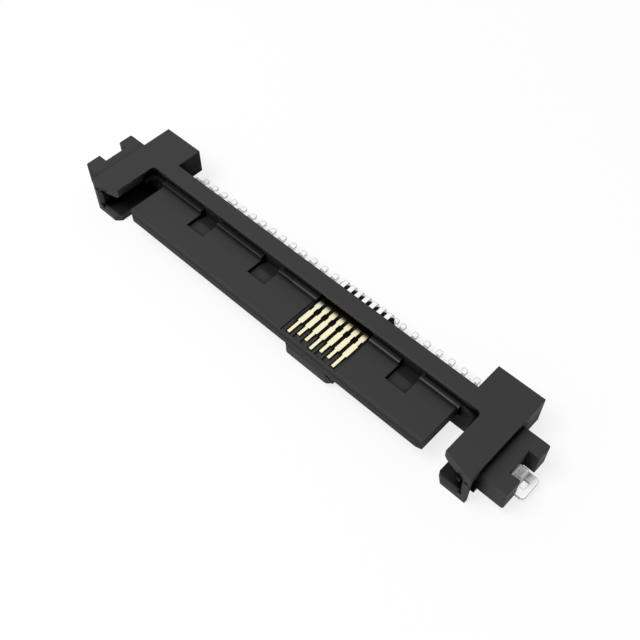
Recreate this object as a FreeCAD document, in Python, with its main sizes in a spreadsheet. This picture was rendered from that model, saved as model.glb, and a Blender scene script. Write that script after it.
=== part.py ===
import FreeCAD, Part
import math
import os
import Sketcher

# Board-mount blade plug for serial storage, lying on its board.
# x runs along the blade, -y is the mating direction, z is up from the board.
# It is drawn from the blade's front face and the board plane, and each piece is then
# placed so that the origin lies on the board under the middle of the whole plug.

doc = FreeCAD.newDocument("blade_plug")
sheet = doc.addObject("Spreadsheet::Sheet", "sizes")


class Length:
    """A size with its number and the sheet expression that gives it."""

    def __init__(self, number, text):
        self.number = number
        self.text = text

    def __add__(self, other):
        other = as_length(other)
        return Length(self.number + other.number, "(" + self.text + " + " + other.text + ")")

    def __sub__(self, other):
        other = as_length(other)
        return Length(self.number - other.number, "(" + self.text + " - " + other.text + ")")

    def __mul__(self, other):
        other = as_length(other)
        return Length(self.number * other.number, "(" + self.text + " * " + other.text + ")")

    def __truediv__(self, other):
        other = as_length(other)
        return Length(self.number / other.number, "(" + self.text + " / " + other.text + ")")

    def __neg__(self):
        return Length(-self.number, "(-1 * " + self.text + ")")


def as_length(value):
    if isinstance(value, Length):
        return value
    return Length(float(value), repr(float(value)))


sheet_row = [0]


def size(name, number):
    """Write one driving size in the sheet and hand back its bound value."""
    sheet_row[0] = sheet_row[0] + 1
    sheet.set("A" + str(sheet_row[0]), name)
    sheet.set("B" + str(sheet_row[0]), str(number))
    sheet.setAlias("B" + str(sheet_row[0]), name)
    return Length(float(number), "sizes." + name)


# Blade: the tongue that carries the contacts on both faces
blade_width = size("blade_width", 33.39)
blade_thickness = size("blade_thickness", 1.23)
blade_bottom = size("blade_bottom", 1.6)
blade_nose = size("blade_nose", 0.3)
blade_corner_relief = size("blade_corner_relief", 0.45)
relief_depth = size("relief_depth", 0.25)

# Spine: the wall that holds blade, contacts and end blocks together
spine_front = size("spine_front", 4.68)
spine_depth = size("spine_depth", 1.59)
spine_rise = size("spine_rise", 0.89)
wall_step_depth = size("wall_step_depth", 0.23)
ledge_depth = size("ledge_depth", 0.53)
ledge_rise = size("ledge_rise", 0.32)
ledge_overhang = size("ledge_overhang", 0.2)
rear_shelf_depth = size("rear_shelf_depth", 1.07)
edge_break = size("edge_break", 0.12)

# End blocks with their guide channels, the same at both ends
guide_overhang = size("guide_overhang", 4.615)
guide_front = size("guide_front", -0.22)
block_width = size("block_width", 4.31)
arm_depth = size("arm_depth", 2.56)
plate_width = size("plate_width", 2.76)
plate_rake = size("plate_rake", 0.68)
plate_drop = size("plate_drop", 0.13)
plate_lip = size("plate_lip", 0.25)
channel_floor_drop = size("channel_floor_drop", 0.8)
guide_wall = size("guide_wall", 0.7)
channel_round = size("channel_round", 0.6)
lead_in = size("lead_in", 0.3)
floor_corner_cut = size("floor_corner_cut", 0.48)
joint_round = size("joint_round", 0.4)
rim_width = size("rim_width", 0.3)
rim_reach = size("rim_reach", 1.1)
rim_round = size("rim_round", 0.75)
side_relief_depth = size("side_relief_depth", 0.44)
side_relief_start = size("side_relief_start", 0.35)
side_relief_cap = size("side_relief_cap", 0.3)
arm_outer_lift = size("arm_outer_lift", 0.7)
arm_inner_lift = size("arm_inner_lift", 1.3)

# Ears outside the end blocks, notched for the hold-down clips
ear_reach = size("ear_reach", 2.44)
ear_start = size("ear_start", 1.12)
ear_back_step = size("ear_back_step", 0.07)
ear_bottom = size("ear_bottom", 0.95)
ear_top_step = size("ear_top_step", 0.55)
ear_round = size("ear_round", 0.18)
notch_depth = size("notch_depth", 0.95)
notch_start = size("notch_start", 1.55)
notch_length = size("notch_length", 2.35)

# Latch pockets in the top of the blade, placed as shares of its width
pocket_depth = size("pocket_depth", 0.3)
pocket_end_depth = size("pocket_end_depth", 0.55)
pocket_slope = size("pocket_slope", 1.0)
pocket_width = size("pocket_width", 2.03)
pocket_length = size("pocket_length", 2.18)
pocket_a_share = size("pocket_a_share", -0.3525)
pocket_b_share = size("pocket_b_share", -0.125)
pocket_c_share = size("pocket_c_share", 0.331)

# Contacts of the first rows: metal, margin at the blade's ends, and their way to the board
metal = size("metal", 0.25)
fit_gap = size("fit_gap", 0.02)
contact_margin = size("contact_margin", 0.82)
contact_shift = size("contact_shift", -0.08)
board_level = size("board_level", 0.65)
contact_width = size("contact_width", 0.84)
groove_front = size("groove_front", 0.42)
long_tip = size("long_tip", 0.5)
short_tip = size("short_tip", 0.9)
tail_width = size("tail_width", 0.52)
tail_straight = size("tail_straight", 0.22)
tail_fall = size("tail_fall", 0.35)
tail_foot = size("tail_foot", 0.69)
tail_round = size("tail_round", 0.16)
bend_round = size("bend_round", 0.12)

# Second contact row on top of the blade, closer together
dense_pitch_share = size("dense_pitch_share", 0.63)
dense_tail_width = size("dense_tail_width", 0.46)
dense_groove_width = size("dense_groove_width", 0.58)
dense_body_width = size("dense_body_width", 0.52)
dense_tip_width = size("dense_tip_width", 0.32)
dense_neck_width = size("dense_neck_width", 0.36)
dense_long_tip = size("dense_long_tip", 0.48)
dense_short_tip = size("dense_short_tip", 0.83)
dense_pad_length = size("dense_pad_length", 0.93)
dense_neck_length = size("dense_neck_length", 0.5)
dense_body_length = size("dense_body_length", 1.4)

# Key under the blade, and the field and recess around the second row
key_inset = size("key_inset", 0.09)
key_outset = size("key_outset", 0.19)
key_drop = size("key_drop", 1.07)
field_left_margin = size("field_left_margin", 0.64)
field_right_margin = size("field_right_margin", 0.53)
field_front = size("field_front", 0.09)
field_depth = size("field_depth", 0.08)
recess_left_margin = size("recess_left_margin", 0.39)
recess_right_margin = size("recess_right_margin", 0.54)
recess_cover = size("recess_cover", 0.22)
recess_depth = size("recess_depth", 0.95)

# Comb ribs between the second row of contacts, behind the spine
rib_width = size("rib_width", 0.2)
rib_top_step = size("rib_top_step", 0.12)

# Hold-down clips soldered to the board
clip_metal = size("clip_metal", 0.25)
clip_front_gap = size("clip_front_gap", 0.03)
clip_back_gap = size("clip_back_gap", 0.15)
clip_top_step = size("clip_top_step", 0.65)
clip_flat = size("clip_flat", 1.4)
clip_knee_step = size("clip_knee_step", 0.6)
clip_splay = size("clip_splay", 0.35)
clip_shoulder_lift = size("clip_shoulder_lift", 0.2)
clip_foot_length = size("clip_foot_length", 1.65)
clip_foot_round = size("clip_foot_round", 0.32)
clip_hole_width = size("clip_hole_width", 0.48)
clip_hole_length = size("clip_hole_length", 0.72)
clip_hole_reach = size("clip_hole_reach", 0.95)

doc.recompute()

zero = as_length(0)
power_count = 15
signal_count = 7
dense_count = 7

# Heights
blade_top = blade_bottom + blade_thickness
body_height = blade_top + spine_rise
ledge_top = blade_top + ledge_rise
plate_underside = blade_top - plate_drop
channel_floor = blade_bottom - channel_floor_drop
ear_top = body_height - ear_top_step
side_relief_top = ear_top - side_relief_cap
key_bottom = blade_bottom - key_drop
recess_top = body_height - recess_cover
dense_high = blade_top - field_depth / 2
dense_low = dense_high - metal
rib_top = dense_high - rib_top_step
tail_top = board_level + metal
foot_top = board_level + clip_metal
clip_top = ear_top - clip_top_step
clip_knee = clip_top - clip_knee_step
clip_shoulder_z = ear_bottom + clip_shoulder_lift

# Depths from the blade's front face backwards
wall_front = spine_front - wall_step_depth
ledge_front = spine_front - ledge_depth
spine_back = spine_front + spine_depth
rear_shelf_back = spine_back + rear_shelf_depth
block_back = spine_back + arm_depth
rim_front = wall_front - rim_reach
side_relief_front = guide_front + side_relief_start
ear_front = guide_front + ear_start
ear_back = spine_back - ear_back_step
notch_front = ear_front + notch_start
notch_back = notch_front + notch_length
tail_bend_top = rear_shelf_back + tail_straight
tail_bend_foot = tail_bend_top + tail_fall
tail_end = tail_bend_foot + tail_foot
dense_neck_back = spine_front - dense_pad_length
dense_neck_front = dense_neck_back - dense_neck_length
dense_body_front = dense_neck_front - dense_body_length
recess_back = ledge_front + recess_depth
pocket_front = spine_front - pocket_length
pocket_bend = spine_front - pocket_slope
clip_front = notch_front + clip_front_gap
clip_back = notch_back - clip_back_gap
clip_shoulder_y = clip_front + clip_flat

# Half widths and places along the blade
blade_half = blade_width / 2
ledge_half = blade_half + ledge_overhang
guide_half = blade_half + guide_overhang
block_inner_half = guide_half - block_width
plate_inner_half = guide_half - plate_width
channel_outer_half = guide_half - guide_wall
rim_half = plate_inner_half - rim_width
ear_half = guide_half + ear_reach
notch_half = ear_half - notch_depth
clip_reach = notch_half + clip_foot_length
clip_hole_x = notch_half + clip_hole_reach
clip_hole_y = (clip_front + clip_back) / 2
row_steps = power_count + signal_count + 3
contact_pitch = (blade_width - contact_margin * 2) / row_steps
first_signal_centre = blade_half - contact_margin + contact_shift
first_power_centre = contact_pitch * (power_count - 1) + contact_margin - blade_half + contact_shift
last_signal_centre = first_signal_centre - contact_pitch * (signal_count - 1)
dense_pitch = contact_pitch * dense_pitch_share
dense_span = dense_pitch * (dense_count - 1)
dense_first_centre = (first_power_centre + last_signal_centre - dense_span) / 2
dense_last_centre = dense_first_centre + dense_span
key_left = dense_first_centre + key_inset
key_right = dense_last_centre + key_outset
field_left = dense_first_centre - field_left_margin
field_right = dense_last_centre + field_right_margin
recess_left = dense_first_centre - recess_left_margin
recess_right = dense_last_centre + recess_right_margin
pocket_a_left = blade_width * pocket_a_share
pocket_b_left = blade_width * pocket_b_share
pocket_c_left = blade_width * pocket_c_share


# Sketching

def new_body(name):
    body = doc.addObject("PartDesign::Body", name)
    body.Label = name
    return body


def plane_of(body, role):
    for feature in body.Origin.OriginFeatures:
        if feature.Role == role:
            return feature
    raise RuntimeError("no plane " + role)


def new_sketch(body, name, role, offset):
    """A sketch on an origin plane, moved along the plane's normal by offset."""
    sketch = body.newObject("Sketcher::SketchObject", name)
    sketch.AttachmentSupport = [(plane_of(body, role), "")]
    sketch.MapMode = "FlatFace"
    offset = as_length(offset)
    sketch.AttachmentOffset = FreeCAD.Placement(
        FreeCAD.Vector(0, 0, offset.number), FreeCAD.Rotation())
    sketch.setExpression("AttachmentOffset.Base.z", offset.text)
    return sketch


def pin(sketch, geometry, point, u, v):
    """Hold one sketch point at bound coordinates."""
    first = sketch.addConstraint(
        Sketcher.Constraint("DistanceX", -1, 1, geometry, point, u.number))
    sketch.setExpression("Constraints[" + str(first) + "]", u.text)
    second = sketch.addConstraint(
        Sketcher.Constraint("DistanceY", -1, 1, geometry, point, v.number))
    sketch.setExpression("Constraints[" + str(second) + "]", v.text)


def flat(u, v):
    return FreeCAD.Vector(u.number, v.number, 0)


def outline(sketch, corners, arcs=None):
    """Draw a closed outline through bound corners.

    arcs gives, for a corner's place in the list, the centre and radius of the arc
    that leads from that corner to the next. Every other stretch is straight.
    """
    points = [(as_length(u), as_length(v)) for u, v in corners]
    arcs = arcs or {}
    count = len(points)
    first = sketch.GeometryCount
    ends = []
    for place in range(count):
        start = flat(*points[place])
        end = flat(*points[(place + 1) % count])
        if place in arcs:
            centre_u, centre_v, radius = [as_length(part) for part in arcs[place]]
            centre = flat(centre_u, centre_v)
            begin = math.atan2(start.y - centre.y, start.x - centre.x)
            finish = math.atan2(end.y - centre.y, end.x - centre.x)
            turn = (finish - begin) % (2 * math.pi)
            forward = turn < math.pi
            circle = Part.Circle(centre, FreeCAD.Vector(0, 0, 1), radius.number)
            if not forward:
                begin, finish = finish, begin
            sketch.addGeometry(Part.ArcOfCircle(circle, begin, finish), False)
            ends.append((1, 2) if forward else (2, 1))
        else:
            sketch.addGeometry(Part.LineSegment(start, end), False)
            ends.append((1, 2))
    for place in range(count):
        following = (place + 1) % count
        sketch.addConstraint(
            Sketcher.Constraint("Coincident", first + place, ends[place][1],
                                first + following, ends[following][0]))
    for place in range(count):
        pin(sketch, first + place, ends[place][0], points[place][0], points[place][1])
    for place in arcs:
        radius = as_length(arcs[place][2])
        held = sketch.addConstraint(
            Sketcher.Constraint("Radius", first + place, radius.number))
        sketch.setExpression("Constraints[" + str(held) + "]", radius.text)
    return first


def rectangle(sketch, left, right, low, high):
    return outline(sketch, [(left, low), (right, low), (right, high), (left, high)])


def pad(body, name, sketch, length, both_ways=False, backwards=False):
    length = as_length(length)
    feature = body.newObject("PartDesign::Pad", name)
    feature.Profile = sketch
    feature.Length = length.number
    feature.setExpression("Length", length.text)
    if both_ways:
        feature.SideType = "Symmetric"
    feature.Reversed = backwards
    sketch.Visibility = False
    feature.Refine = False
    doc.recompute()
    return feature


def pocket(body, name, sketch, length, both_ways=False, backwards=False):
    """Cut the sketch into the body, and stop if it takes nothing away."""
    length = as_length(length)
    before = body.Shape.Volume
    feature = body.newObject("PartDesign::Pocket", name)
    feature.Profile = sketch
    feature.Length = length.number
    feature.setExpression("Length", length.text)
    if both_ways:
        feature.SideType = "Symmetric"
    feature.Reversed = backwards
    sketch.Visibility = False
    feature.Refine = False
    doc.recompute()
    if not body.Shape.Volume < before - 0.0001:
        raise RuntimeError(name + " cuts nothing")
    return feature


def edge_names(shape, test):
    """Names of the edges whose middle and direction pass the test."""
    names = []
    for place, edge in enumerate(shape.Edges):
        middle = edge.valueAt((edge.FirstParameter + edge.LastParameter) / 2)
        along = edge.tangentAt((edge.FirstParameter + edge.LastParameter) / 2)
        if test(middle, along, edge.Length):
            names.append("Edge" + str(place + 1))
    return names


def near(value, length):
    return abs(value - as_length(length).number) < 0.004


def soften(body, name, kind, amount, test):
    """Round or chamfer the edges of the body's last feature that pass the test."""
    amount = as_length(amount)
    base = body.Tip
    names = edge_names(base.Shape, test)
    if not names:
        raise RuntimeError(name + " finds no edge")
    feature = body.newObject("PartDesign::" + kind, name)
    feature.Base = (base, names)
    if kind == "Fillet":
        feature.Radius = amount.number
        feature.setExpression("Radius", amount.text)
    else:
        feature.Size = amount.number
        feature.setExpression("Size", amount.text)
    feature.Refine = False
    doc.recompute()
    return feature


def repeat(body, name, originals, axis_role, step, count, backwards=False):
    """Repeat features in a row along an origin axis."""
    axis = plane_of(body, axis_role)
    feature = body.newObject("PartDesign::LinearPattern", name)
    feature.Originals = originals
    feature.Direction = (axis, [""])
    feature.Reversed = backwards
    feature.Mode = "Spacing"
    feature.Offset = as_length(step).number
    feature.setExpression("Offset", as_length(step).text)
    feature.Occurrences = count
    body.Tip = feature
    feature.Refine = False
    doc.recompute()
    return feature


# On these planes a sketch's own axes are: plan (x, y) from below to above,
# front view (x, z) with its normal along -y, side view (y, z) with its normal along x.

def plan(body, name, height):
    return new_sketch(body, name, "XY_Plane", height)


def front_view(body, name, depth):
    return new_sketch(body, name, "XZ_Plane", -as_length(depth))


def side_view(body, name, across):
    return new_sketch(body, name, "YZ_Plane", across)


# Housing: one black moulding

housing = new_body("housing")

spine_profile = side_view(housing, "spine_profile", zero)
outline(spine_profile, [
    (spine_front, blade_bottom), (spine_front, body_height - edge_break),
    (spine_front + edge_break, body_height),
    (spine_back, body_height), (spine_back, blade_bottom),
    (rear_shelf_back, blade_bottom), (rear_shelf_back, board_level),
    (spine_back, board_level), (spine_back, zero), (wall_front, zero),
    (wall_front, blade_bottom)])
pad(housing, "spine", spine_profile, block_inner_half * 2 + edge_break, both_ways=True)

blade_profile = side_view(housing, "blade_profile", zero)
outline(blade_profile, [
    (zero, blade_bottom + blade_nose), (zero, blade_top - blade_nose),
    (blade_nose, blade_top), (spine_back - edge_break, blade_top),
    (spine_back - edge_break, blade_bottom), (blade_nose, blade_bottom)])
pad(housing, "blade", blade_profile, blade_width, both_ways=True)

corners = plan(housing, "blade_corner_plan", blade_top)
for side in (-1, 1):
    outer = blade_half * side
    inner = (blade_half - blade_corner_relief) * side
    outline(corners, [
        (inner, -blade_nose), (outer + metal * side, -blade_nose),
        (outer + metal * side, relief_depth), (outer, relief_depth),
        (inner, zero)])
pocket(housing, "blade_corners", corners, blade_thickness)

ledge_profile = side_view(housing, "ledge_profile", zero)
outline(ledge_profile, [
    (ledge_front, blade_top - field_depth / 4), (ledge_front, ledge_top - edge_break),
    (ledge_front + edge_break, ledge_top), (spine_front + edge_break, ledge_top),
    (spine_front + edge_break, blade_top - field_depth / 4)],
    arcs={1: (ledge_front + edge_break, ledge_top - edge_break, edge_break)})
pad(housing, "ledge", ledge_profile, ledge_half * 2, both_ways=True)

blocks = plan(housing, "block_plan", zero)
for side in (-1, 1):
    outline(blocks, [
        (block_inner_half * side, wall_front), (block_inner_half * side, block_back),
        (guide_half * side, block_back), (guide_half * side, guide_front),
        (plate_inner_half * side, guide_front), (plate_inner_half * side, wall_front)])
pad(housing, "end_blocks", blocks, body_height)

ears = plan(housing, "ear_plan", ear_bottom)
for side in (-1, 1):
    outline(ears, [
        ((guide_half - edge_break) * side, ear_front), (ear_half * side, ear_front),
        (ear_half * side, notch_front), (notch_half * side, notch_front),
        (notch_half * side, notch_back), (ear_half * side, notch_back),
        (ear_half * side, ear_back), ((guide_half - edge_break) * side, ear_back)])
pad(housing, "ears", ears, ear_top - ear_bottom)

soften(housing, "ear_rounds", "Fillet", ear_round,
       lambda middle, along, length: abs(along.z) > 0.99
       and (near(abs(middle.x), ear_half))
       and (near(middle.y, ear_back) or near(middle.y, ear_front)))

# Wall between blade and guides, lower than the spine
lowered = plan(housing, "wall_step_plan", body_height)
for side in (-1, 1):
    rectangle(lowered, (blade_half - blade_nose) * side, plate_inner_half * side,
              wall_front - blade_nose, spine_front)
pocket(housing, "wall_step", lowered, body_height - ledge_top)
joints = plan(housing, "joint_round_plan", ledge_top)
for side in (-1, 1):
    face = plate_inner_half * side
    round_x = (plate_inner_half - joint_round) * side
    outline(joints, [
        (round_x, spine_front), (face, spine_front - joint_round),
        (face + edge_break * side, spine_front - joint_round),
        (face + edge_break * side, spine_front + edge_break),
        (round_x, spine_front + edge_break)],
        arcs={0: (round_x, spine_front - joint_round, joint_round)})
pad(housing, "joint_rounds", joints, body_height - ledge_top)

# Guide channels and their lead-ins
channels = front_view(housing, "channel_view", guide_front - lead_in)
for side in (-1, 1):
    outline(channels, [
        ((plate_inner_half - guide_wall) * side, channel_floor),
        (channel_outer_half * side, channel_floor),
        (channel_outer_half * side, plate_underside - channel_round),
        ((channel_outer_half - channel_round) * side, plate_underside),
        ((plate_inner_half + plate_lip) * side, plate_underside),
        (plate_inner_half * side, plate_underside + plate_lip),
        ((plate_inner_half - guide_wall) * side, plate_underside + plate_lip)],
        arcs={2: ((channel_outer_half - channel_round) * side,
                  plate_underside - channel_round, channel_round)})
pocket(housing, "channels", channels, wall_front - guide_front + lead_in)

# Rim that carries the ledge on round the inner corner of each channel
rims = plan(housing, "rim_plan", plate_underside)
near_round = wall_front - ledge_front
for side in (-1, 1):
    outline(rims, [
        (blade_half * side, ledge_front),
        ((blade_half + near_round) * side, wall_front),
        ((rim_half - rim_round) * side, wall_front),
        (rim_half * side, wall_front - rim_round), (rim_half * side, rim_front),
        ((plate_inner_half + edge_break) * side, rim_front),
        ((plate_inner_half + edge_break) * side, wall_front + edge_break),
        ((blade_half - blade_nose) * side, wall_front + edge_break),
        ((blade_half - blade_nose) * side, ledge_front)],
        arcs={0: ((blade_half + near_round) * side, ledge_front, near_round),
              2: ((rim_half - rim_round) * side, wall_front - rim_round, rim_round)})
pad(housing, "rims", rims, ledge_top - plate_underside)

rakes = plan(housing, "rake_plan", body_height)
for side in (-1, 1):
    outline(rakes, [
        (guide_half * side, guide_front), (guide_half * side, guide_front - lead_in),
        ((plate_inner_half - edge_break) * side, guide_front - lead_in),
        ((plate_inner_half - edge_break) * side, guide_front + plate_rake),
        (plate_inner_half * side, guide_front + plate_rake)])
pocket(housing, "rakes", rakes, body_height - plate_underside)

floor_cuts = plan(housing, "floor_cut_plan", channel_floor)
for side in (-1, 1):
    outline(floor_cuts, [
        (plate_inner_half * side, guide_front + floor_corner_cut),
        ((plate_inner_half + floor_corner_cut) * side, guide_front),
        ((plate_inner_half + floor_corner_cut) * side, guide_front - lead_in),
        ((plate_inner_half - edge_break) * side, guide_front - lead_in),
        ((plate_inner_half - edge_break) * side, guide_front + floor_corner_cut)])
pocket(housing, "floor_cuts", floor_cuts, channel_floor)

for side, word in ((-1, "left"), (1, "right")):
    slope = side_view(housing, word + "_lead_in_view", channel_outer_half * side)
    outline(slope, [
        (guide_front, channel_floor - lead_in), (guide_front, channel_floor + metal),
        (guide_front + lead_in, channel_floor + metal),
        (guide_front + lead_in, channel_floor)])
    pocket(housing, word + "_lead_in", slope, guide_half - plate_inner_half,
           backwards=(side < 0))

flares = plan(housing, "flare_plan", plate_underside)
for side in (-1, 1):
    outline(flares, [
        ((channel_outer_half + lead_in) * side, guide_front),
        ((channel_outer_half - edge_break) * side, guide_front),
        ((channel_outer_half - edge_break) * side, guide_front + lead_in),
        (channel_outer_half * side, guide_front + lead_in)])
pocket(housing, "flares", flares, plate_underside - channel_floor)

reliefs = plan(housing, "side_relief_plan", side_relief_top)
for side in (-1, 1):
    rectangle(reliefs, (guide_half - side_relief_depth) * side,
              (guide_half + edge_break) * side, side_relief_front, ear_front)
pocket(housing, "side_reliefs", reliefs, side_relief_top)

undersides = front_view(housing, "arm_view", spine_back + edge_break)
for side in (-1, 1):
    outline(undersides, [
        ((block_inner_half - edge_break) * side, -edge_break),
        ((guide_half + edge_break) * side, -edge_break),
        ((guide_half + edge_break) * side, arm_outer_lift),
        ((block_inner_half - edge_break) * side, arm_inner_lift)])
pocket(housing, "arm_reliefs", undersides, block_back - spine_back)

# Seat behind the spine for the second row, with comb ribs between its contacts
seat = side_view(housing, "seat_view", dense_first_centre - dense_pitch / 2)
rectangle(seat, spine_back - edge_break, rear_shelf_back, blade_bottom - edge_break, dense_low)
pad(housing, "seat", seat, dense_pitch * dense_count + rib_width / 2)
rib_view = side_view(housing, "rib_view", dense_first_centre + dense_pitch / 2 - rib_width / 2)
rectangle(rib_view, spine_back - edge_break, rear_shelf_back, dense_low - edge_break, rib_top)
rib = pad(housing, "comb_rib", rib_view, rib_width)
repeat(housing, "comb_ribs", [rib], "X_Axis", dense_pitch, dense_count)

# Latch pockets: flat in front, then falling towards the spine
for word, left in (("a", pocket_a_left), ("b", pocket_b_left), ("c", pocket_c_left)):
    latch = side_view(housing, "latch_pocket_" + word + "_view", left)
    outline(latch, [
        (pocket_front, blade_top - pocket_depth), (pocket_bend, blade_top - pocket_depth),
        (spine_front, blade_top - pocket_end_depth),
        (spine_front, ledge_top + edge_break), (pocket_front, ledge_top + edge_break)])
    pocket(housing, "latch_pocket_" + word, latch, pocket_width, backwards=True)

# Key under the blade
key_view = front_view(housing, "key_view", zero)
rectangle(key_view, key_left, key_right, key_bottom, blade_bottom + edge_break)
pad(housing, "key", key_view, wall_front + edge_break, backwards=True)
key_nose = side_view(housing, "key_nose_view", key_left - edge_break)
outline(key_nose, [
    (-edge_break, blade_bottom + edge_break), (zero, blade_bottom + edge_break),
    (blade_nose, blade_bottom), (blade_nose, key_bottom + edge_break),
    (blade_nose + edge_break, key_bottom), (blade_nose, key_bottom - edge_break),
    (-edge_break, key_bottom - edge_break)])
pocket(housing, "key_nose", key_nose, key_right - key_left + edge_break * 2, backwards=True)

# Second contact field, slightly sunk in the blade's top
field = plan(housing, "field_plan", blade_top)
rectangle(field, field_left, field_right, field_front, ledge_front)
pocket(housing, "field", field, field_depth)
recess = front_view(housing, "field_recess_view", ledge_front)
rectangle(recess, recess_left, recess_right,
          blade_top - field_depth, recess_top)
pocket(housing, "field_recess", recess, recess_back - ledge_front)

# Grooves for the second row, through the spine
dense_groove = plan(housing, "dense_groove_plan", dense_low)
rectangle(dense_groove, dense_first_centre - dense_groove_width / 2,
          dense_first_centre + dense_groove_width / 2, groove_front, spine_back + edge_break)
dense_cut = pocket(housing, "dense_groove", dense_groove, metal + field_depth / 2,
                   backwards=True)
repeat(housing, "dense_grooves", [dense_cut], "X_Axis", dense_pitch, dense_count)


def lower_groove(name, centre, count):
    """Grooves in the blade's underside that run on as slots through the spine."""
    sketch = plan(housing, name + "_plan", blade_bottom)
    rectangle(sketch, centre - contact_width / 2 - fit_gap,
              centre + contact_width / 2 + fit_gap, groove_front, spine_back + edge_break)
    cut = pocket(housing, name, sketch, metal, backwards=True)
    return repeat(housing, name + "s", [cut], "X_Axis", contact_pitch, count,
                  backwards=True)


lower_groove("power_groove", first_power_centre, power_count)
lower_groove("signal_groove", first_signal_centre, signal_count)

# Contacts

def strip(name, centre, width, corners):
    """A bent strip: side profile of bound corners, made to a width."""
    body = new_body(name)
    view = side_view(body, name + "_view", centre)
    outline(view, corners)
    pad(body, name + "_strip", view, width, both_ways=True)
    return body


def lower_contact(name, centre, tip, foot_width):
    low = blade_bottom
    high = blade_bottom + metal
    body = strip(name, centre, contact_width, [
        (tip, low), (tip, high), (tail_bend_top, high), (tail_bend_foot + metal / 2, tail_top),
        (tail_end, tail_top), (tail_end, board_level), (tail_bend_foot, board_level),
        (tail_bend_top - metal / 2, low)])
    round_bends(body, name, [
        (tail_bend_top, high), (tail_bend_foot + metal / 2, tail_top),
        (tail_bend_foot, board_level), (tail_bend_top - metal / 2, low)])
    sides = plan(body, name + "_neck_plan", zero)
    for side in (-1, 1):
        rectangle(sides, centre + foot_width / 2 * side,
                  centre + (contact_width / 2 + metal) * side,
                  spine_back, tail_end + metal)
    pocket(body, name + "_neck", sides, high + metal, backwards=True)
    round_tail(body, name)
    return body


def round_bends(body, name, bends):
    """Round the bends of a strip, found by where their corners lie."""
    return soften(body, name + "_bends", "Fillet", bend_round,
                  lambda middle, along, length: abs(along.x) > 0.99
                  and any(near(middle.y, y) and near(middle.z, z) for y, z in bends))


def round_tail(body, name):
    """Round the two upright edges at a tail's end."""
    return soften(body, name + "_tail_round", "Fillet", tail_round,
                  lambda middle, along, length: abs(along.z) > 0.99 and near(middle.y, tail_end))


def tip_of(long_ones, number):
    if number in long_ones:
        return long_tip
    return short_tip


names = []

long_power = (4, 5, 6, 10, 12)
for number in range(1, power_count + 1):
    name = "power_contact_%02d" % number
    centre = first_power_centre - contact_pitch * (number - 1)
    foot_width = dense_tail_width if number == 1 else tail_width
    lower_contact(name, centre, tip_of(long_power, number), foot_width)
    names.append(name)

long_signal = (1, 4, 7)
for number in range(1, signal_count + 1):
    name = "signal_contact_%02d" % number
    centre = first_signal_centre - contact_pitch * (number - 1)
    foot_width = dense_tail_width if number == signal_count else tail_width
    lower_contact(name, centre, tip_of(long_signal, number), foot_width)
    names.append(name)

for place in range(dense_count):
    number = signal_count + 1 + place
    name = "second_port_contact_%02d" % number
    centre = dense_first_centre + dense_pitch * place
    tip = dense_long_tip if place in (0, 3, 6) else dense_short_tip
    body = strip(name, centre, dense_body_width, [
        (tip, dense_low), (tip, dense_high), (tail_bend_top, dense_high),
        (tail_bend_foot + metal / 2, tail_top), (tail_end, tail_top), (tail_end, board_level),
        (tail_bend_foot, board_level), (tail_bend_top - metal / 2, dense_low)])
    round_bends(body, name, [
        (tail_bend_top, dense_high), (tail_bend_foot + metal / 2, tail_top),
        (tail_bend_foot, board_level), (tail_bend_top - metal / 2, dense_low)])
    sides = plan(body, name + "_waist_plan", zero)
    for side in (-1, 1):
        rectangle(sides, centre + dense_tip_width / 2 * side,
                  centre + (dense_body_width / 2 + metal) * side,
                  tip - metal, dense_body_front)
        rectangle(sides, centre + dense_neck_width / 2 * side,
                  centre + (dense_body_width / 2 + metal) * side,
                  dense_neck_front, dense_neck_back)
        rectangle(sides, centre + dense_tail_width / 2 * side,
                  centre + (dense_body_width / 2 + metal) * side,
                  spine_back, tail_end + metal)
    pocket(body, name + "_waist", sides, dense_high + metal, backwards=True)
    round_tail(body, name)
    names.append(name)


# Hold-down clips: a plate beside the ear, splayed below its knee into a soldered foot

for side, word in ((-1, "left"), (1, "right")):
    name = word + "_holddown_clip"
    body = new_body(name)
    inner = notch_half
    view = front_view(body, name + "_view", clip_front)
    outline(view, [
        ((inner + clip_splay) * side, board_level), (clip_reach * side, board_level),
        (clip_reach * side, foot_top),
        ((inner + clip_splay + clip_metal * 1.4) * side, foot_top),
        ((inner + clip_splay + clip_metal) * side, foot_top + clip_metal * 0.4),
        ((inner + clip_metal) * side, clip_knee), ((inner + clip_metal) * side, clip_top),
        (inner * side, clip_top), (inner * side, clip_knee - clip_metal / 4),
        ((inner + clip_splay) * side, board_level + clip_metal / 2)])
    pad(body, name + "_bend", view, clip_back - clip_front, backwards=True)
    cut = side_view(body, name + "_shoulder_view", inner * side)
    outline(cut, [
        (clip_shoulder_y, clip_top), (clip_back, clip_shoulder_z),
        (clip_back + metal, clip_shoulder_z), (clip_back + metal, clip_top + metal),
        (clip_shoulder_y, clip_top + metal)])
    pocket(body, name + "_shoulder", cut, clip_reach - inner, both_ways=False,
           backwards=(side > 0))
    hole = plan(body, name + "_hole_plan", zero)
    rectangle(hole, (clip_hole_x - clip_hole_width / 2) * side,
              (clip_hole_x + clip_hole_width / 2) * side,
              clip_hole_y - clip_hole_length / 2, clip_hole_y + clip_hole_length / 2)
    pocket(body, name + "_hole", hole, foot_top + clip_metal, backwards=True)
    soften(body, name + "_rounds", "Fillet", clip_foot_round,
           lambda middle, along, length: abs(along.z) > 0.99
           and near(abs(middle.x), clip_reach))
    names.append(name)


# The row's own frame: the plane of the housing's underside, under the middle of the plug

names = ["housing"] + names
middle = (block_back + guide_front) / 2
for name in names:
    piece = doc.getObject(name)
    piece.Placement = FreeCAD.Placement(
        FreeCAD.Vector(0, -middle.number, 0), FreeCAD.Rotation())
    piece.setExpression("Placement.Base.y", (-middle).text)

# Check every piece, then write it

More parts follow.
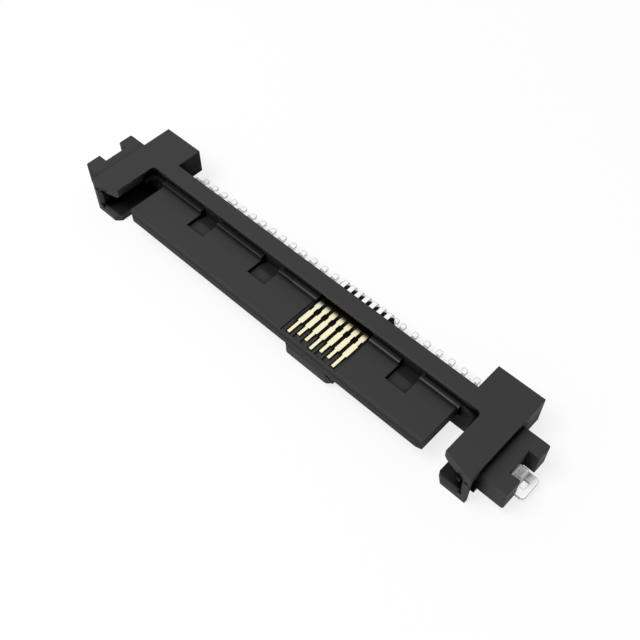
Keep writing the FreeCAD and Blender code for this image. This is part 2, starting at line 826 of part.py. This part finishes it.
doc.recompute()
os.makedirs("parts", exist_ok=True)
for thing in doc.Objects:
    if "Invalid" in thing.State or "Error" in thing.State:
        raise RuntimeError("bad object " + thing.Name)
for name in names:
    piece = doc.getObject(name)
    if piece is None or piece.Shape.isNull() or not piece.Shape.isValid():
        raise RuntimeError("bad shape " + name)
    if len(piece.Shape.Solids) != 1:
        raise RuntimeError("not one solid " + name)
    piece.Shape.exportStep("parts/" + name + ".step")
    print(name, round(piece.Shape.Volume, 4))
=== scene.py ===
import math
from collections import namedtuple

import bpy
import bmesh
from mathutils import Euler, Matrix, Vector


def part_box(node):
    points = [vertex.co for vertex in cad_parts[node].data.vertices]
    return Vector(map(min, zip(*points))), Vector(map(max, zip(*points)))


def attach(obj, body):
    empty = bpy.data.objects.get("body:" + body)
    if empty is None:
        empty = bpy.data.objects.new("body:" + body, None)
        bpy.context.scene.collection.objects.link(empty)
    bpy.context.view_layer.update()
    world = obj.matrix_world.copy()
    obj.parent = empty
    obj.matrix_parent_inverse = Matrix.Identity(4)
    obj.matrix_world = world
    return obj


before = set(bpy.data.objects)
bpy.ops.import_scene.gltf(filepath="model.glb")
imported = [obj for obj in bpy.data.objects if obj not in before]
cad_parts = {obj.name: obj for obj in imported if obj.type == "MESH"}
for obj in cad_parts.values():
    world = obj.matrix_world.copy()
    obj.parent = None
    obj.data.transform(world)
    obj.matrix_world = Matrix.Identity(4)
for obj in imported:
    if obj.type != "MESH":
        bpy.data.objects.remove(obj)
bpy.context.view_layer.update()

# The camera looks down on the plug from its signal end and its mating side, from a place
# worked out from the plug's known widths and contact pitch. Depths are counted to the
# rear from the blade's front face, which the two guides reach a little past.
guides_past_blade = 0.00022
blade_front_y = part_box("housing")[0][1] + guides_past_blade
camera_right = 0.032424
camera_before_blade = 0.02728
camera_height = 0.061265
camera_tilt = 36.072
camera_roll = 0.274
camera_turn = 43.581


def add_object(name, data):
    """A new object in the scene, for a mesh, a lamp or the camera."""
    thing = bpy.data.objects.new(name, data)
    bpy.context.scene.collection.objects.link(thing)
    return thing


camera_data = bpy.data.cameras.new("plug_camera")
camera_data.sensor_width = 36.0
camera_data.lens = 50.28
camera_data.shift_x = 0.0073
camera_data.shift_y = -0.0124
camera_data.clip_start = 0.002
camera_data.clip_end = 10.0
camera = add_object("plug_camera", camera_data)
camera.location = (camera_right, blade_front_y - camera_before_blade, camera_height)
camera.rotation_euler = Euler(
    (math.radians(camera_tilt), math.radians(camera_roll), math.radians(camera_turn)), "XYZ")
bpy.context.scene.camera = camera


# A matte white table top that the plug lies on, as on a packshot table.
# It stays white to the camera away from the plug and keeps the plug's shadow.
table_half = 0.6
table_drop = 0.00002
table_paint = (0.93, 0.93, 0.93, 1.0)
table_shine_share = 0.78
white = (1.0, 1.0, 1.0, 1.0)


def new_material(name):
    """A new material, with its node tree and its main shader."""
    material = bpy.data.materials.new(name)
    material.use_nodes = True
    tree = material.node_tree
    return material, tree, tree.nodes["Principled BSDF"]


def feed(tree, socket, value):
    """Give a socket what another node works out, or a fixed value."""
    if isinstance(value, bpy.types.NodeSocket):
        tree.links.new(value, socket)
    else:
        socket.default_value = value


def sum_of(tree, operation, first, second):
    """One sum on two numbers, each fixed or worked out by another node."""
    node = tree.nodes.new("ShaderNodeMath")
    node.operation = operation
    feed(tree, node.inputs[0], first)
    feed(tree, node.inputs[1], second)
    return node.outputs[0]


def mix_shaders(tree, share, first, second):
    """Two shaders mixed by a share, where a share of none gives the first."""
    node = tree.nodes.new("ShaderNodeMixShader")
    feed(tree, node.inputs[0], share)
    feed(tree, node.inputs[1], first.outputs[0])
    feed(tree, node.inputs[2], second.outputs[0])
    return node.outputs[0]


table_mesh = bpy.data.meshes.new("table_top")
table_mesh.from_pydata(
    [(-table_half, -table_half, -table_drop), (table_half, -table_half, -table_drop),
     (table_half, table_half, -table_drop), (-table_half, table_half, -table_drop)],
    [], [(0, 1, 2, 3)])
table_mesh.update()
table = add_object("table_top", table_mesh)
table_white, table_tree, table_shader = new_material("table_white")
table_shader.inputs["Base Color"].default_value = table_paint
table_shader.inputs["Roughness"].default_value = 0.9
table_shader.inputs["Specular IOR Level"].default_value = 0.2
table_shine = table_tree.nodes.new("ShaderNodeEmission")
table_shine.inputs["Color"].default_value = white
table_shine.inputs["Strength"].default_value = 1.0
table_ray = table_tree.nodes.new("ShaderNodeLightPath")
table_share = sum_of(
    table_tree, "MULTIPLY", table_ray.outputs["Is Camera Ray"], table_shine_share)
table_mix = mix_shaders(table_tree, table_share, table_shader, table_shine)
feed(table_tree, table_tree.nodes["Material Output"].inputs["Surface"], table_mix)
table_mesh.materials.append(table_white)


# The room is white card all round, and the camera sees all of it white.
# It sends plain soft grey light onto the plug. A dark card beyond the signal end takes
# some of that light away and shows in the plug's gloss, but not to the camera.
room_soft_level = 0.55
card_start = 0.15
card_full = 0.85
card_level = 0.3


def remap(tree, value, low, high, to_low=0.0, to_high=1.0):
    """A number carried from one range to another, and held at the ends."""
    node = tree.nodes.new("ShaderNodeMapRange")
    node.inputs["From Min"].default_value = low
    node.inputs["From Max"].default_value = high
    node.inputs["To Min"].default_value = to_low
    node.inputs["To Max"].default_value = to_high
    feed(tree, node.inputs["Value"], value)
    return node.outputs[0]


def place_of(tree, kind):
    """Where a point lies, as texture coordinates of one kind."""
    return tree.nodes.new("ShaderNodeTexCoord").outputs[kind]


def axes_of(tree, place):
    """The three axes of a place, each by itself."""
    node = tree.nodes.new("ShaderNodeSeparateXYZ")
    feed(tree, node.inputs[0], place)
    return node.outputs


room = bpy.data.worlds.new("white_room")
bpy.context.scene.world = room
room.use_nodes = True
room_tree = room.node_tree
soft_room = room_tree.nodes["Background"]
seen_room = room_tree.nodes.new("ShaderNodeBackground")
soft_room.inputs["Color"].default_value = white
seen_room.inputs["Color"].default_value = white
room_ray = room_tree.nodes.new("ShaderNodeLightPath").outputs
room_axes = axes_of(room_tree, place_of(room_tree, "Generated"))
dark_card = remap(room_tree, room_axes["X"], card_start, card_full, 1.0, card_level)
card_unseen = sum_of(room_tree, "MAXIMUM", dark_card, room_ray["Is Camera Ray"])
soft_strength = sum_of(room_tree, "MULTIPLY", dark_card, room_soft_level)
feed(room_tree, seen_room.inputs["Strength"], card_unseen)
feed(room_tree, soft_room.inputs["Strength"], soft_strength)
seen_or_glossy = sum_of(
    room_tree, "MAXIMUM", room_ray["Is Camera Ray"], room_ray["Is Glossy Ray"])
seen_any = sum_of(room_tree, "MAXIMUM", seen_or_glossy, room_ray["Is Transmission Ray"])
room_mix = mix_shaders(room_tree, seen_any, soft_room, seen_room)
feed(room_tree, room_tree.nodes["World Output"].inputs["Surface"], room_mix)


# Soft box over the plug, a little towards its mating side and its power end.
# It is plain white and far larger than the plug, so shadows stay soft.
box_place = Vector((-0.10, -0.16, 0.38))
box_width = 0.24
box_watts = 1.3
box_data = bpy.data.lights.new("overhead_box", "AREA")
box_data.shape = "SQUARE"
box_data.size = box_width
box_data.energy = box_watts
overhead_box = add_object("overhead_box", box_data)
overhead_box.location = box_place
overhead_box.rotation_euler = (-box_place).to_track_quat("-Z", "Y").to_euler()

bpy.context.scene.view_settings.view_transform = "Standard"


# Housing: one moulding in black glass-filled plastic, straight from a spark-eroded tool.
# The skin is evenly matte with a very fine grain and faintly clouded, and a painted highlight
# lies along the ledge's upper corner. Its nooks are rougher than the open faces and carry
# painted shade.
plastic_black = (0.0085, 0.0085, 0.0088, 1.0)
plastic_dust = (0.013, 0.013, 0.0132, 1.0)
# Painted highlight colour on the ledge's upper corner.
plastic_painted_highlight = (0.055, 0.055, 0.056, 1.0)
# Painted shade colours for the nooks, for the colour and for the gloss.
plastic_painted_shade = (0.0008, 0.0008, 0.0008, 1.0)
nook_gloss_shade = (0.05, 0.05, 0.05, 1.0)
nook_reach = 0.0014
nook_closed = 0.52
nook_open = 0.92
edge_break = 0.00007
smooth_rough = 0.54
cloudy_rough = 0.66
highlight_start_x = -0.0160
highlight_full_x = 0.0080

# A nook is a place in the moulding: its span along the plug, its depths, its heights, the
# width over which it fades at its sides, and how strongly painted shade is laid in it or kept
# out.
Nook = namedtuple("Nook", "along depths heights soft share")
blade_half = 0.0167
beside_blade = 0.0168
channel_outer = 0.0206
channel_heights = (0.0007, 0.0026)
close_contacts = (0.00215, 0.0078)
spine_back = 0.0063
# Places darkened with painted shade, in colour and gloss.
between_contacts = Nook(
    along=close_contacts, depths=(0.0017, 0.0042), heights=(0.0024, 0.0031),
    soft=0.0003, share=0.8)
between_tails = Nook(
    along=(0.0020, 0.0082), depths=(spine_back, 0.0075), heights=(0.0020, 0.0031),
    soft=0.00005, share=0.55)
left_channel = Nook(
    along=(-channel_outer, -beside_blade), depths=(0.0001, 0.0046), heights=channel_heights,
    soft=0.0003, share=0.7)
left_roof_side = Nook(
    along=(-0.0187, -beside_blade), depths=(0.0008, 0.0046), heights=(0.0025, 0.0034),
    soft=0.0003, share=0.5)
ledge_power_half = Nook(
    along=(-blade_half, -0.0005), depths=(0.0041, 0.0045), heights=(0.0029, 0.0033),
    soft=0.0001, share=0.25)
left_block_wall = Nook(
    along=(-0.0171, -0.0169), depths=(spine_back, 0.0089), heights=(0.0005, 0.00362),
    soft=0.0001, share=0.5)
left_shelf_front = Nook(
    along=(-0.0240, -0.0212), depths=(0.00082, 0.00097), heights=(0.0008, 0.0031),
    soft=0.0001, share=0.4)
blade_front = Nook(
    along=(-beside_blade, beside_blade), depths=(-0.0001, 0.00025),
    heights=(0.0015, 0.00268), soft=0.0001, share=0.22)
right_channel = Nook(
    along=(beside_blade, channel_outer), depths=(0.0, 0.0044), heights=channel_heights,
    soft=0.0003, share=0.6)
shaded_nooks = [
    between_contacts, between_tails, left_channel, left_roof_side, ledge_power_half,
    left_block_wall, left_shelf_front, blade_front, right_channel]

# Shallow or open places, kept out of the painted shade, nearly as pale as the faces round
# them.
groove_fronts = Nook(
    along=close_contacts, depths=(0.0003, 0.0014), heights=(0.0022, 0.0029),
    soft=0.0002, share=1.0)
right_blade_side = Nook(
    along=(0.0165, 0.01675), depths=(-0.0001, 0.0038), heights=(0.0014, 0.0027),
    soft=0.0001, share=1.0)
ledge_foot = Nook(
    along=(-blade_half, blade_half), depths=(0.0036, 0.00425), heights=(0.0027, 0.0031),
    soft=0.0001, share=0.5)
right_notch_wall = Nook(
    along=(0.0228, 0.0239), depths=(0.0045, 0.0049), heights=(0.0009, 0.0031),
    soft=0.0002, share=0.8)
clear_nooks = [groove_fronts, right_blade_side, ledge_foot, right_notch_wall]
pocket_inset = 0.00008
pocket_reach = 0.0022
for pocket_left in (-0.01177, -0.00417, 0.01105):
    clear_nooks.append(Nook(
        along=(pocket_left + pocket_inset, pocket_left + pocket_reach),
        depths=(0.0021, 0.0047), heights=(0.0021, 0.0033), soft=0.0001, share=0.6))

# The upper corner of the ledge behind the blade, with a painted highlight that grows towards
# the signal end.
ledge_highlight_corner = Nook(
    along=(-0.0169, 0.0169), depths=(0.00414, 0.00427), heights=(0.00304, 0.00325),
    soft=0.00003, share=1.0)


def dress(node, material):
    """Give a piece of the plug its material."""
    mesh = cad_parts[node].data
    mesh.materials.clear()
    mesh.materials.append(material)


def mix(tree, share, first, second, kind="RGBA"):
    """Two colours or two numbers mixed by a share, where none gives the first."""
    sockets = {"RGBA": (6, 7, 2), "FLOAT": (2, 3, 0)}
    first_socket, second_socket, mixed = sockets[kind]
    node = tree.nodes.new("ShaderNodeMix")
    node.data_type = kind
    feed(tree, node.inputs[0], share)
    feed(tree, node.inputs[first_socket], first)
    feed(tree, node.inputs[second_socket], second)
    return node.outputs[mixed]


def cloud(tree, place, scale, detail):
    """Soft uneven pattern in the part's own place."""
    node = tree.nodes.new("ShaderNodeTexNoise")
    node.inputs["Scale"].default_value = scale
    node.inputs["Detail"].default_value = detail
    feed(tree, node.inputs["Vector"], place)
    return node.outputs["Fac"]


def round_edges(tree, reach, samples):
    """Surface directions as they are with the edges rounded over a reach."""
    node = tree.nodes.new("ShaderNodeBevel")
    node.samples = samples
    node.inputs["Radius"].default_value = reach
    return node.outputs["Normal"]


def grain(tree, place, scale, detail, strength, depth, edges=None):
    """Surface directions with a fine grain, over rounded edges where they are given."""
    node = tree.nodes.new("ShaderNodeBump")
    node.inputs["Strength"].default_value = strength
    node.inputs["Distance"].default_value = depth
    feed(tree, node.inputs["Height"], cloud(tree, place, scale, detail))
    if edges is not None:
        feed(tree, node.inputs["Normal"], edges)
    return node.outputs["Normal"]


def inside(tree, axes, nook):
    """The nook's share inside it and none outside."""
    spans = {"X": nook.along,
             "Y": [blade_front_y + depth for depth in nook.depths],
             "Z": nook.heights}
    result = nook.share
    for axis, (low, high) in spans.items():
        for start, towards in ((low, 1), (high, -1)):
            fade = nook.soft / 2 * towards
            step = remap(tree, axes[axis], start - fade, start + fade)
            result = sum_of(tree, "MULTIPLY", result, step)
    return result


def most_of(tree, axes, nooks, least):
    """The most that any of the nooks gives, and no less than the least."""
    result = least
    for nook in nooks:
        result = sum_of(tree, "MAXIMUM", result, inside(tree, axes, nook))
    return result


moulded_black, black_tree, black_shader = new_material("moulded_black")
black_place = place_of(black_tree, "Object")
black_axes = axes_of(black_tree, black_place)
black_cloud = cloud(black_tree, black_place, scale=900.0, detail=5.0)
black_skin = mix(black_tree, black_cloud, plastic_black, plastic_dust)
black_rough = remap(black_tree, black_cloud, 0.0, 1.0, smooth_rough, cloudy_rough)
# Painted highlight along the ledge's upper corner, stronger towards the signal end.
black_highlight_ramp = remap(black_tree, black_axes["X"], highlight_start_x, highlight_full_x)
painted_highlight_share = sum_of(
    black_tree, "MULTIPLY", inside(black_tree, black_axes, ledge_highlight_corner), black_highlight_ramp)
black_with_highlight = mix(black_tree, painted_highlight_share, black_skin, plastic_painted_highlight)

# Painted shade: occlusion and the listed places darken the colour and the gloss in the nooks.
black_occlusion = black_tree.nodes.new("ShaderNodeAmbientOcclusion")
black_occlusion.samples = 8
black_occlusion.only_local = True
black_occlusion.inputs["Distance"].default_value = nook_reach
black_open = remap(black_tree, black_occlusion.outputs["AO"], nook_closed, nook_open)
black_clear = most_of(black_tree, black_axes, clear_nooks, black_open)
black_shade = most_of(black_tree, black_axes, shaded_nooks, 0.0)
black_light = sum_of(black_tree, "SUBTRACT", black_clear, black_shade)
black_light.node.use_clamp = True

black_colour = mix(black_tree, black_light, plastic_painted_shade, black_with_highlight)
black_gloss_shade = mix(black_tree, black_light, nook_gloss_shade, white)
black_matt = mix(black_tree, black_light, 1.0, black_rough, kind="FLOAT")
black_edges = round_edges(black_tree, edge_break, samples=6)
black_grain = grain(
    black_tree, black_place, scale=9000.0, detail=3.0, strength=0.25, depth=0.00001,
    edges=black_edges)
feed(black_tree, black_shader.inputs["Base Color"], black_colour)
feed(black_tree, black_shader.inputs["Specular Tint"], black_gloss_shade)
feed(black_tree, black_shader.inputs["Roughness"], black_matt)
feed(black_tree, black_shader.inputs["Normal"], black_grain)
black_shader.inputs["IOR"].default_value = 1.5
black_shader.inputs["Specular IOR Level"].default_value = 0.4
dress("housing", moulded_black)


# Front of the key under the blade: part of the same moulding, level with the blade's front.
# Its upright corners are rounded and its lower edge is broken.
key_left = 0.00248
key_right = 0.00749
key_node_left = 0.00269
key_round = 0.0005
key_bottom = 0.00053
key_back = 0.0044
key_edge = 0.00009
corner_steps = 12
blade_bottom = 0.0016
blade_nose = 0.0003
nose_share = 0.99


def key_plan():
    """Plan of the key's front, counted from its hidden left rear corner."""
    points = [(key_left, key_back)]
    for step in range(corner_steps + 1):
        turn = math.pi / 2 * step / corner_steps
        points.append((key_left + key_round * (1 - math.cos(turn)),
                       key_round * (1 - math.sin(turn))))
    for step in range(corner_steps, -1, -1):
        turn = math.pi / 2 * step / corner_steps
        depth = key_round * (1 - math.sin(turn))
        if depth < blade_nose:
            points.append((key_right - key_round * (1 - math.cos(turn)), depth))
    end = key_round - blade_nose
    points.append((key_right - key_round + math.sqrt(key_round ** 2 - end ** 2), blade_nose))
    points.append((key_node_left, blade_nose))
    points.append((key_node_left, key_back))
    return points


key_mesh = bpy.data.meshes.new("key_front")
key_shape = bmesh.new()
low_ring = []
high_ring = []
for place_x, depth in key_plan():
    y = blade_front_y + depth
    top = blade_bottom + max(0.0, blade_nose - depth)
    low_ring.append(key_shape.verts.new((place_x, y, key_bottom)))
    high_ring.append(key_shape.verts.new((place_x, y, top)))
count = len(low_ring)
for index in range(count):
    after = (index + 1) % count
    key_shape.faces.new((low_ring[index], low_ring[after], high_ring[after], high_ring[index]))
key_floor = key_shape.faces.new(list(reversed(low_ring)))
key_shape.faces.new(high_ring)
bmesh.ops.recalc_face_normals(key_shape, faces=key_shape.faces)
nose_y = blade_front_y + blade_nose * nose_share
front_low = [edge for edge in key_floor.edges if min(v.co.y for v in edge.verts) < nose_y]
bmesh.ops.bevel(key_shape, geom=front_low, offset=key_edge, segments=2, affect="EDGES")
key_shape.to_mesh(key_mesh)
key_shape.free()
key_front = add_object("key_front", key_mesh)
key_mesh.materials.append(moulded_black)
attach(key_front, "root")


# Contacts: copper alloy strips stamped and bent, pressed into the housing from behind.
# The blade ends are gold plated and the tails behind the spine are tinned for solder.
# Painted shade darkens their sheared edges against the flats, and the gold where it runs into
# the spine.
gold = (0.93, 0.87, 0.60, 1.0)
# Painted shade colours for the edges and for the gold inside the spine.
gold_edge_shade = (0.055, 0.035, 0.006, 1.0)
gold_shade = (0.06, 0.048, 0.012, 1.0)
gold_rough = 0.28
tin = (0.84, 0.84, 0.84, 1.0)
tin_edge_shade = (0.30, 0.30, 0.30, 1.0)
tin_rough = 0.42
shade_start = 0.00435
shade_full = 0.00460
plating_change = 0.0062
plating_blur = 0.0001
strip_edge_reach = 0.000075
flat_match = 0.9995
edge_match = 0.985


def edge_mask(tree, reach):
    """One at the sheared edges of a strip and none on its flats."""
    match = tree.nodes.new("ShaderNodeVectorMath")
    match.operation = "DOT_PRODUCT"
    surface = tree.nodes.new("ShaderNodeNewGeometry")
    feed(tree, match.inputs[0], round_edges(tree, reach, samples=8))
    feed(tree, match.inputs[1], surface.outputs["True Normal"])
    return remap(tree, match.outputs["Value"], flat_match, edge_match)


plated_strip, strip_tree, strip_shader = new_material("plated_strip")
strip_place = place_of(strip_tree, "Object")
strip_y = axes_of(strip_tree, strip_place)["Y"]
# Painted shade on the gold where it runs into the spine.
strip_shaded = remap(
    strip_tree, strip_y, blade_front_y + shade_start, blade_front_y + shade_full)
plating_y = blade_front_y + plating_change
strip_tinned = remap(strip_tree, strip_y, plating_y - plating_blur, plating_y + plating_blur)
strip_gold = mix(strip_tree, strip_shaded, gold, gold_shade)
strip_flat = mix(strip_tree, strip_tinned, strip_gold, tin)
# Painted shade along the sheared edges.
strip_outline_shade = mix(strip_tree, strip_tinned, gold_edge_shade, tin_edge_shade)
strip_edge = edge_mask(strip_tree, strip_edge_reach)
strip_colour = mix(strip_tree, strip_edge, strip_flat, strip_outline_shade)
strip_rough = remap(strip_tree, strip_tinned, 0.0, 1.0, gold_rough, tin_rough)
strip_grain = grain(
    strip_tree, strip_place, scale=6000.0, detail=4.0, strength=0.15, depth=0.000006)
strip_shader.inputs["Metallic"].default_value = 1.0
feed(strip_tree, strip_shader.inputs["Base Color"], strip_colour)
feed(strip_tree, strip_shader.inputs["Roughness"], strip_rough)
feed(strip_tree, strip_shader.inputs["Normal"], strip_grain)
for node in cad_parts:
    if "contact" in node:
        dress(node, plated_strip)


# Hold-down clips: tinned sheet, bent to a plate and a foot that is soldered to the board.
# The tin is matte and faintly mottled. Painted shade darkens the upright plate against the
# foot, and the edges.
sheet_dark = (0.95, 0.95, 0.95, 1.0)
sheet_pale = (0.99, 0.99, 0.99, 1.0)
# Painted shade colour of the upright plate.
sheet_plate_shade = (0.42, 0.42, 0.42, 1.0)
plate_start = 0.0011
plate_full = 0.0015
sheet_edge_reach = 0.00006
tinned_sheet, sheet_tree, sheet_shader = new_material("tinned_sheet")
sheet_place = place_of(sheet_tree, "Object")
sheet_height = axes_of(sheet_tree, sheet_place)["Z"]
sheet_cloud = cloud(sheet_tree, sheet_place, scale=2500.0, detail=2.0)
sheet_foot = mix(sheet_tree, sheet_cloud, sheet_dark, sheet_pale)
# Painted shade on the upright plate.
sheet_upright = remap(sheet_tree, sheet_height, plate_start, plate_full)
sheet_flat = mix(sheet_tree, sheet_upright, sheet_foot, sheet_plate_shade)
# Painted shade along the edges.
sheet_edge = edge_mask(sheet_tree, sheet_edge_reach)
sheet_colour = mix(sheet_tree, sheet_edge, sheet_flat, tin_edge_shade)
sheet_grain = grain(
    sheet_tree, sheet_place, scale=7000.0, detail=3.0, strength=0.2, depth=0.000008)
sheet_shader.inputs["Metallic"].default_value = 1.0
sheet_shader.inputs["Roughness"].default_value = 0.3
feed(sheet_tree, sheet_shader.inputs["Base Color"], sheet_colour)
feed(sheet_tree, sheet_shader.inputs["Normal"], sheet_grain)
dress("left_holddown_clip", tinned_sheet)
dress("right_holddown_clip", tinned_sheet)
